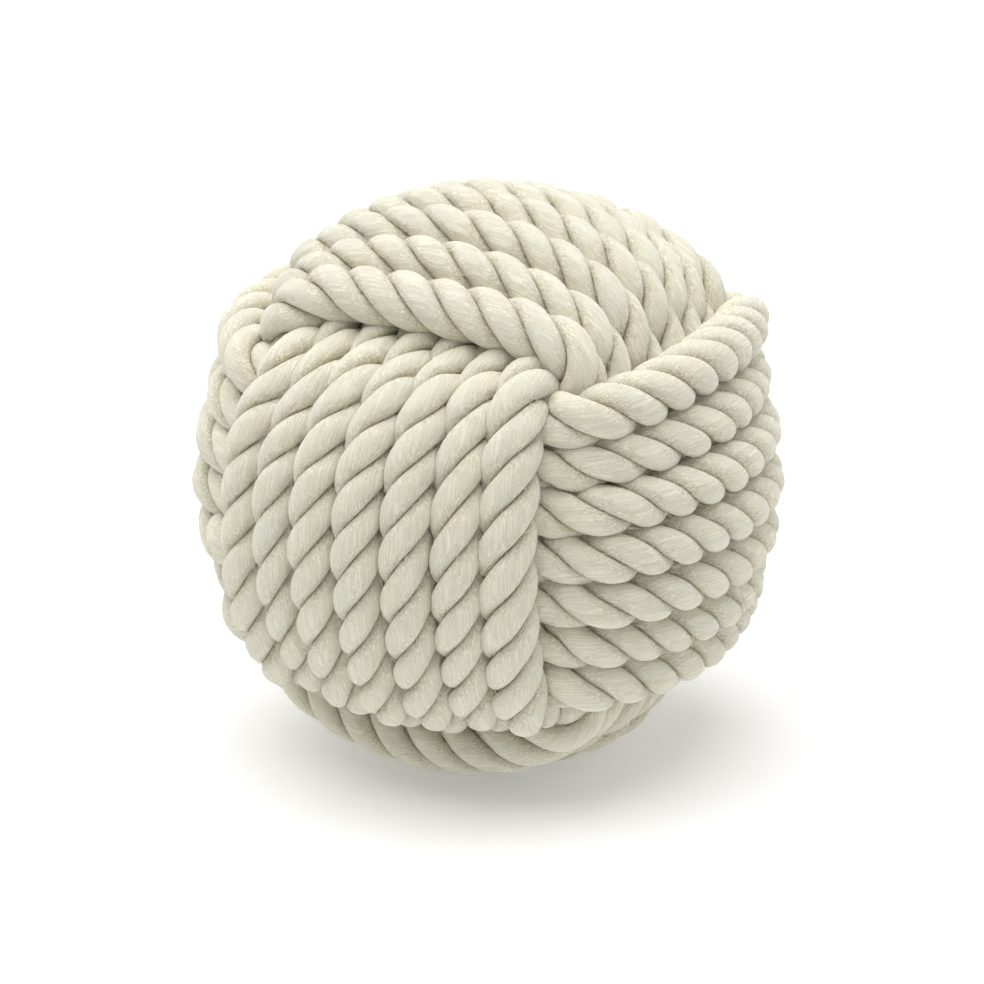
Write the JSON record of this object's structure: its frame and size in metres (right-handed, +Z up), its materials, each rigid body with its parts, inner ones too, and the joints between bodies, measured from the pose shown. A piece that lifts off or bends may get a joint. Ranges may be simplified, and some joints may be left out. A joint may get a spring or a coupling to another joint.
{
  "type": "rope ball",
  "caption": "Monkey's fist rope ball: three crossed bands of laid cotton rope wound tight round a turned wooden ball, with a small flat to stand on.",
  "frame": {"origin": "bottom centre of the ball, in the plane of the flat that it stands on", "axes": "+Z up through the ball's middle, away from the floor; the front side, where the turns run upright, faces -Y, and the side where they lie level faces +X"},
  "size_m": [0.1534, 0.1532, 0.1523],
  "materials": {
    "cotton_rope": "natural undyed laid cotton, matt, slightly fuzzy",
    "turned_wood": "bare turned wood, unsealed",
    "twine": "waxed flax twine, satin"
  },
  "bodies": {
    "root": {"rope": "cotton_rope", "core_ball": "turned_wood", "start_whipping": "twine", "finish_whipping": "twine"}
  },
  "joints": []
}
